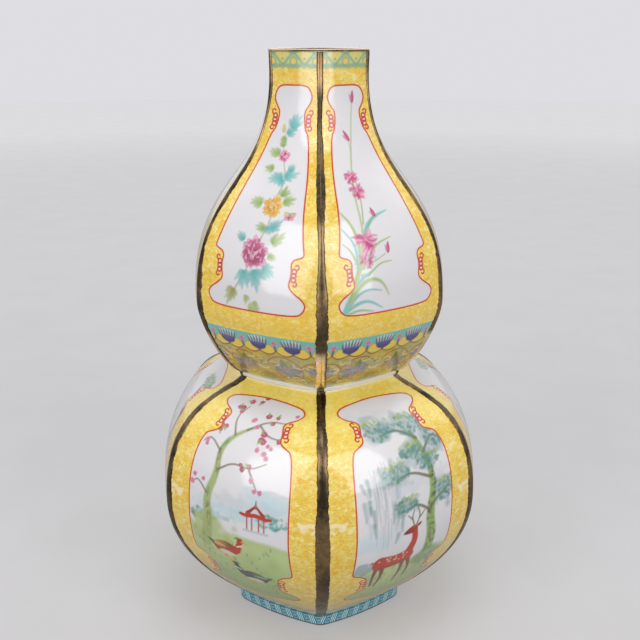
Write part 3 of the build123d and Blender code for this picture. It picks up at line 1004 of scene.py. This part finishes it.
def porcelainMaterial():
    surface = Surface("enamelledPorcelain", Roughness=0.3, IOR=1.5, Coat_Weight=1.0, Coat_Roughness=0.08,
                      Specular_IOR_Level=0.25)
    gap = surface.attribute("reserveGap")
    covered = surface.attribute("paint", "Alpha")
    # Yellow ground: blots and clouds under fine curls and pale wisps
    squat = surface.node("VectorMath", {0: surface.place, 1: (1, 1, 1.7)}, operation="MULTIPLY").outputs[0]
    curls = surface.grain(1.9, 1.5, 2.4)
    blots = surface.grain(4.6, 1.0, 1.5, squat)
    clouds = surface.grain(9.0, 2.0, 1.6)
    yellow = surface.ramp(curls * 0.35 + blots * 0.4 + clouds * 0.25, (0.38, (230, 178, 4)),
                          (0.47, (236, 196, 38)), (0.54, (240, 210, 88)), (0.62, (246, 230, 162)))
    wisps = (surface.grain(2.3, 0.0, 2.5, squat) - 0.5).math("ABSOLUTE").mapped(0.015, 0.05, 0.45, 0.0)
    yellow = surface.mix(wisps, yellow, (248, 236, 186))
    # White reserve, pinkish beside its red line
    white = surface.ramp(surface.grain(30.0), (0.3, (222, 221, 226)), (0.7, (227, 225, 227)))
    reserve = surface.mix(gap.mapped(0.4, 1.3, 0.4, 1.0), (246, 200, 190), white)
    ground = surface.mix(gap.step(0.0, 0.12), yellow, reserve)
    shade = surface.mix(1.0, ground, covered.rest(), "MULTIPLY")
    painted = surface.mix(1.0, shade, surface.attribute("paint", "Color"), "ADD")
    red = surface.ramp(curls, (0.35, (184, 46, 18)), (0.65, (204, 64, 30)))
    lined = surface.mix(surface.attribute("redLine").step(0.0, 0.1), red, painted)
    surface.feed("Base Color", surface.mix(surface.attribute("outside"), (226, 227, 230), lined))
    height = surface.grain(14.0, 2.0) * 0.9 + covered * 0.10
    surface.bump(height, 0.35, 0.0006, ("Normal", "Coat Normal"))
    return surface.material


def putInScene(name, data):
    thing = bpy.data.objects.new(name, data)
    bpy.context.scene.collection.objects.link(thing)
    return thing


def addPiece(name, mesh, material, node, number):
    # Sets a mesh in mm, made for the side towards +X, on side number of the vase.
    angle = math.radians(vase["firstAngle"]) + (number - 1) * 2 * halfStep
    mesh.transform(Matrix.Rotation(angle, 4, "Z") @ Matrix.Scale(mm, 4))
    mesh.materials.append(material)
    piece = putInScene(name, mesh)
    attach(piece, "root")
    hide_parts(node)


def addSide(key, number, material):
    tier, name = tiers[key], f"painted{key.title()}Side{number}"
    mesh = tier["mesh"].copy()
    mesh.name = name
    storePaint(mesh, canvases[tier["designs"][number - 1]])
    for title in ("reserveGap", "redLine", "outside"):
        storeFloat(mesh, title, tier[title])
    addPiece(name, mesh, material, f"{key}_panel_{number}", number)


porcelain = porcelainMaterial()
for number in range(1, vase["sides"] + 1):
    addSide("upper", number, porcelain)
    addSide("lower", number, porcelain)
print("sides dressed")


# Gilding over the corners, brushed by hand: uneven edges, thin at the rims

gilding = {
    "lift": 0.3, "sink": 0.25,
    "rimShare": 0.35,       # share of the lift that is left at a stroke's edges
    "ripples": (3.0, 0.9),  # lengths of the ripples along an edge
    "sway": (17.0, 0.9),    # length and width of an edge's slow sway
    "columns": 12, "step": 0.55,
    # the painted highlight on the upper gilding reaches this far up
    "highlightTop": 36,          # mm up the upper bulb
    "upper": {"widths": ((0, 3.2), (28, 3.2), (36, 3.3), (62, 3.2), (72, 2.7), (82, 1.8), (96, 1.7),
                         (112, 2.2), (124, 2.1), (140, 1.6), (160, 1.5), (178, 1.8), (189, 1.8)),
              "end": 189.0, "ragged": ((0, 0.64), (60, 0.88), (90, 0.48), (190, 0.24))},
    "lower": {"widths": ((0, 3.3), (30, 3.6), (60, 3.8), (85, 4.1), (97, 3.8), (110, 2.9), (130, 2.6),
                         (150, 2.6), (176, 2.7)),
              "end": 176.6, "ragged": ((0, 0.32), (90, 0.56), (176, 0.72))},
}


def goldMaterial(name, dark, mid, bright, topHighlight=None):
    # Gold, dark in patches: partly wear, partly a painted reflection of dark surroundings. The last colour,
    # where it faces up, is a painted highlight.
    surface = Surface(name, Metallic=1.0)
    brush = surface.grain(2.6, 2.0, 0.6)
    patches = surface.grain(24.0, 1.5, 0.5)
    colour = surface.ramp(brush * 0.25 + patches * 0.75, (0.36, dark), (0.5, mid), (0.68, bright))
    # painted highlight: near-white gold where the glow attribute is set
    highlightGold = surface.ramp(patches, (0.3, (212, 182, 138)), (0.5, (238, 216, 178)), (0.66, (252, 242, 220)))
    colour = surface.mix(surface.attribute("glow"), colour, highlightGold)
    # painted highlight: paler gold where it faces up
    if topHighlight:
        colour = surface.mix(surface.facing().step(0.75, 0.15), colour, topHighlight)
    surface.feed("Base Color", colour)
    surface.feed("Roughness", brush.mapped(0.3, 0.7, 0.2, 0.34))
    surface.bump(brush, 0.2, 0.0002)
    return surface.material


def addGilding(key, number, material):
    # A strip that lies over one corner: a grid, wrapped onto both sides of the mitre.
    tier, form = tiers[key], gilding[key]
    bm = bmesh.new()
    bmesh.ops.create_grid(bm, x_segments=gilding["columns"], size=0.5,
                          y_segments=round(form["end"] / gilding["step"]))
    bmesh.ops.solidify(bm, geom=bm.faces[:], thickness=-1.0)
    name = f"{key}Gilding{number}"
    mesh = writeMesh(bm, bpy.data.meshes.new(name))
    places = readPlaces(mesh)
    across, up = places[:, 0] * 2, (places[:, 1] + 0.5) * form["end"]
    top = places[:, 2] > places[:, 2].mean()
    edge = np.sign(across) * 9 + number * 5  # each edge wanders by itself
    wander = sum(mottle(up, edge, size, seed) for seed, size in enumerate(gilding["ripples"], 7)) - 1
    long, wide = gilding["sway"]
    width, ragged = [np.interp(up, *np.array(form[title]).T) for title in ("widths", "ragged")]
    width += ragged * wander + wide * (mottle(up, edge, long, 9) - 0.5)
    crown = np.clip(2.5 - 2.5 * np.abs(across), 0, 1) * (1 - gilding["rimShare"]) + gilding["rimShare"]
    radius, height = lineAt(tier, up, np.where(top, gilding["lift"] * crown, -gilding["sink"]))
    turn = np.arcsin(halfWidth(radius) / (radius + bow)) - np.abs(across) * width / (radius + bow)
    points = np.stack([(radius + bow) * np.cos(turn) - bow, (radius + bow) * np.sin(turn), height], 1)
    cosine, sine = math.cos(2 * halfStep), math.sin(2 * halfStep)
    mirrored = points @ np.array([(cosine, sine, 0), (sine, -cosine, 0), (0, 0, 1)])
    points = np.where((across > 0)[:, None], mirrored, points)
    mesh.vertices.foreach_set("co", points.astype(np.float32).ravel())
    # Painted highlight: bright gold under the upper bulb, dark again along one edge
    glow = np.clip((gilding["highlightTop"] - up) / 4, 0, 1) * np.clip(2.6 - 3.4 * across, 0, 1)
    storeFloat(mesh, "glow", glow * (key == "upper"))
    bm = bmesh.new()
    bm.from_mesh(mesh)
    writeMesh(bm, mesh).shade_smooth()
    addPiece(name, mesh, material, f"{key}_gilt_band_{number}", number)


# gold toned dark: partly wear, partly a painted reflection of dark surroundings
wornGoldPaintedReflection = goldMaterial("wornGoldPaintedReflection", (56, 48, 36), (100, 84, 62), (150, 122, 86))
for number in range(1, vase["sides"] + 1):
    addGilding("upper", number, wornGoldPaintedReflection)
    addGilding("lower", number, wornGoldPaintedReflection)
print("corners gilded")


# Pieces that keep their CAD shape: lip, seam, floor and foot

foot = {  # mm, and shares of the period
    "period": 7.4,       # from one fret block to the next
    "lean": 0.38,        # how far a stroke leans for each mm up
    "stroke": 1.23, "strokeShare": 0.47,
    "fretLine": 0.95, "fretShare": 0.46, "fretMiddle": 3.8, "fretSquash": 0.62,
    "rim": 1.0, "marksLow": 1.3, "marksHigh": 6.6,
    "innerRadius": 45.0,
}


def dress(node, material):
    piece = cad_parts[node]
    piece.data.materials.clear()
    piece.data.materials.append(material)


def glazeMaterial(name, low, high, roughness, gilt=-5.0):
    # Plain glaze; gilt is the width in mm of the gold that runs across it at each corner.
    surface = Surface(name, IOR=1.5, Coat_Weight=0.6, Coat_Roughness=0.04)
    fine = surface.grain(3.0, 4.0)
    x, y, _ = surface.split(surface.place)
    turn = (y.math("ARCTAN2", x) - halfStep + 6 * math.pi).math("PINGPONG", halfStep)
    across = turn * (x * x + y * y).math("SQRT") / mm + (fine - 0.5) * 1.2
    plain = across.step(gilt, 0.1)
    glaze = surface.ramp(fine, (0.3, low), (0.7, high))
    surface.feed("Base Color", surface.mix(plain, (96, 76, 56), glaze))
    surface.feed("Metallic", plain.rest())
    surface.feed("Roughness", fine.mapped(0.0, 1.0, roughness, roughness + 0.15))
    surface.bump(fine, 0.3, 0.0003)
    return surface.material


def footMaterial():
    # Key-fret blocks and slanted strokes in turquoise, laid out along each bowed side.
    surface = Surface("footEnamel", Roughness=0.25, IOR=1.5, Coat_Weight=0.6, Coat_Roughness=0.04)
    x, y, z = surface.split(surface.place)
    turn = y.math("ARCTAN2", x)
    side = (turn / (2 * halfStep)).math("ROUND")
    radius = (x * x + y * y).math("SQRT") / mm
    along = radius * (turn - side * (2 * halfStep)).math("SINE")
    up = z / mm
    way = (side.math("PINGPONG", 1.0) * 2.0).rest()  # the strokes lean the other way on every second side
    leaned = along + up * foot["lean"] * way
    cell = (leaned / foot["period"] + 20.5).math("FRACT")
    lines = (cell * (2 * math.pi * foot["period"] / foot["stroke"])).math("SINE")
    slants = lines.step(0.0, 0.3) * cell.step(foot["strokeShare"], 0.03)
    blockX = ((cell - foot["strokeShare"] / 2) * foot["period"]).math("ABSOLUTE")
    blockZ = (up - foot["fretMiddle"]).math("ABSOLUTE") * foot["fretSquash"]
    rings = (blockX.math("MAXIMUM", blockZ) * (2 * math.pi / foot["fretLine"])).math("SINE")
    fret = rings.step(0.1, 0.3) * cell.step(foot["fretShare"], 0.02).rest()
    marks = slants.math("MAXIMUM", fret * 0.5)
    marks = marks * up.step(foot["marksLow"], 0.2) * up.step(foot["marksHigh"], 0.2).rest()
    grain = surface.grain(1.6)
    deep = surface.ramp(grain, (0.3, (28, 108, 140)), (0.7, (50, 136, 162)))
    light = surface.ramp(grain, (0.3, (184, 236, 242)), (0.7, (222, 250, 250)))
    biscuit = surface.ramp(grain, (0.3, (214, 205, 190)), (0.7, (232, 226, 214)))
    colour = surface.mix(up.step(foot["rim"], 0.15), (112, 80, 60), surface.mix(marks, deep, light))
    colour = surface.mix(radius.step(foot["innerRadius"], 0.2), (222, 222, 222), colour)
    bare = surface.facing().math("ABSOLUTE").step(0.8, 0.1)
    surface.feed("Base Color", surface.mix(bare, colour, biscuit))
    surface.bump(marks, 0.35, 0.0002)
    return surface.material


# the lip's gold is paler where it faces up: a painted highlight
dress("lip_gilding", goldMaterial("lipGold", (72, 58, 40), (120, 98, 68), (168, 140, 98), (214, 198, 172)))
dress("waist_seam", glazeMaterial("seamGlaze", (230, 229, 226), (236, 235, 230), 0.15, 1.9))
dress("base_plate", glazeMaterial("floorGlaze", (222, 222, 222), (232, 231, 228), 0.25))
dress("foot_ring", footMaterial())
print("lip, seam, floor and foot dressed")


# Floor, light and camera

studio = {
    "floor": (172, 171, 174),
    "floorSeen": (226, 226, 228),
    "floorRadius": 4,
    # the glow is lower near the vase, a painted shade round it
    "glow": (0.3, 2.6, 0.3, 0.67),  # near and far distance in metres, and the glow at each
    "mirrored": 0.35,    # share of the paper's glow that reflections show
    "sky": (222, 222, 226),
    "ambient": 0.42,
    "ambientTint": (255, 253, 250),
    "boxes": [           # azimuth and height angle in degrees, distance, width, height, watts
        (-46, 21, 1.1, 0.38, 1.0, 4.5),
        (46, 21, 1.1, 0.36, 0.96, 4.2),
        (0, 80, 1.2, 0.6, 0.6, 3.4),
        (-110, 40, 1.3, 0.7, 0.9, 1.4),
        (110, 40, 1.3, 0.7, 0.9, 1.4),
        (180, 45, 1.4, 0.9, 0.9, 2.6),
    ],
    "aimHeight": 0.17,
    "sensor": 36, "lens": 47.6, "away": 0.464, "height": 0.3287, "yaw": 1.34, "tilt": 18.86, "shift": 0.0024,
}


def stageMaterial(name, colour, seenColour):
    # Pale to the camera and in reflections, duller as light thrown back on the vase. It glows less near the
    # vase, a painted shade round it, and more far off, to meet the sky.
    surface = Surface(name, Roughness=0.7, Specular_IOR_Level=0.2)
    fine = surface.grain(60)
    for key, paper in (("Base Color", colour), ("Emission Color", seenColour)):
        surface.feed(key, surface.ramp(fine, (0.3, tuple(part - 3 for part in paper)), (0.7, paper)))
    rays = surface.node("LightPath").outputs
    seen = surface.number(rays["Is Glossy Ray"]) * studio["mirrored"] + rays["Is Camera Ray"]
    far = surface.node("VectorMath", {0: surface.place}, operation="LENGTH").outputs["Value"]
    surface.feed("Emission Strength", seen * surface.number(far).mapped(*studio["glow"]))
    return surface.material


bm = bmesh.new()
bmesh.ops.create_circle(bm, cap_ends=True, radius=studio["floorRadius"], segments=96)
floorMesh = bpy.data.meshes.new("studioFloor")
bm.to_mesh(floorMesh)
bm.free()
floorMesh.materials.append(stageMaterial("floorPaper", studio["floor"], studio["floorSeen"]))
floor = putInScene("studioFloor", floorMesh)

world = bpy.data.worlds.new("studio")
bpy.context.scene.world = world
world.use_nodes = True
tree = world.node_tree
ambient = tree.nodes["Background"]
ambient.inputs[0].default_value = tone(*studio["ambientTint"])
ambient.inputs[1].default_value = studio["ambient"]
seen = addNode(tree, "Background", {0: tone(*studio["sky"]), 1: 1.0})
rays = addNode(tree, "LightPath").outputs
shown = Number(tree, rays["Is Camera Ray"]).math("MAXIMUM", rays["Is Glossy Ray"])
shown = shown.math("MAXIMUM", rays["Is Transmission Ray"])
mixer = addNode(tree, "MixShader", {0: shown, 1: ambient.outputs[0], 2: seen.outputs[0]})
tree.links.new(mixer.outputs[0], tree.nodes["World Output"].inputs[0])

for number, (azimuth, rise, away, wide, high, watts) in enumerate(studio["boxes"], 1):
    light = bpy.data.lights.new(f"softBox{number}", "AREA")
    light.shape = "RECTANGLE"
    light.size, light.size_y, light.energy = wide, high, watts
    turn, rise = math.radians(azimuth), math.radians(rise)
    aim = Vector((math.sin(turn) * math.cos(rise), -math.cos(turn) * math.cos(rise), math.sin(rise)))
    box = putInScene(f"softBox{number}", light)
    box.location = Vector((0, 0, studio["aimHeight"])) + aim * away
    box.rotation_euler = aim.to_track_quat("Z", "Y").to_euler()

cameraData = bpy.data.cameras.new("camera")
cameraData.lens = studio["lens"]
cameraData.sensor_width = studio["sensor"]
cameraData.shift_x = studio["shift"]
camera = putInScene("camera", cameraData)
yaw, tilt = math.radians(studio["yaw"]), math.radians(studio["tilt"])
camera.location = (-studio["away"] * math.sin(yaw), -studio["away"] * math.cos(yaw), studio["height"])
gaze = Vector((math.sin(yaw) * math.cos(tilt), math.cos(yaw) * math.cos(tilt), -math.sin(tilt)))
camera.rotation_euler = gaze.to_track_quat("-Z", "Y").to_euler()
bpy.context.scene.camera = camera
bpy.context.scene.view_settings.view_transform = "Standard"
print("studio set")
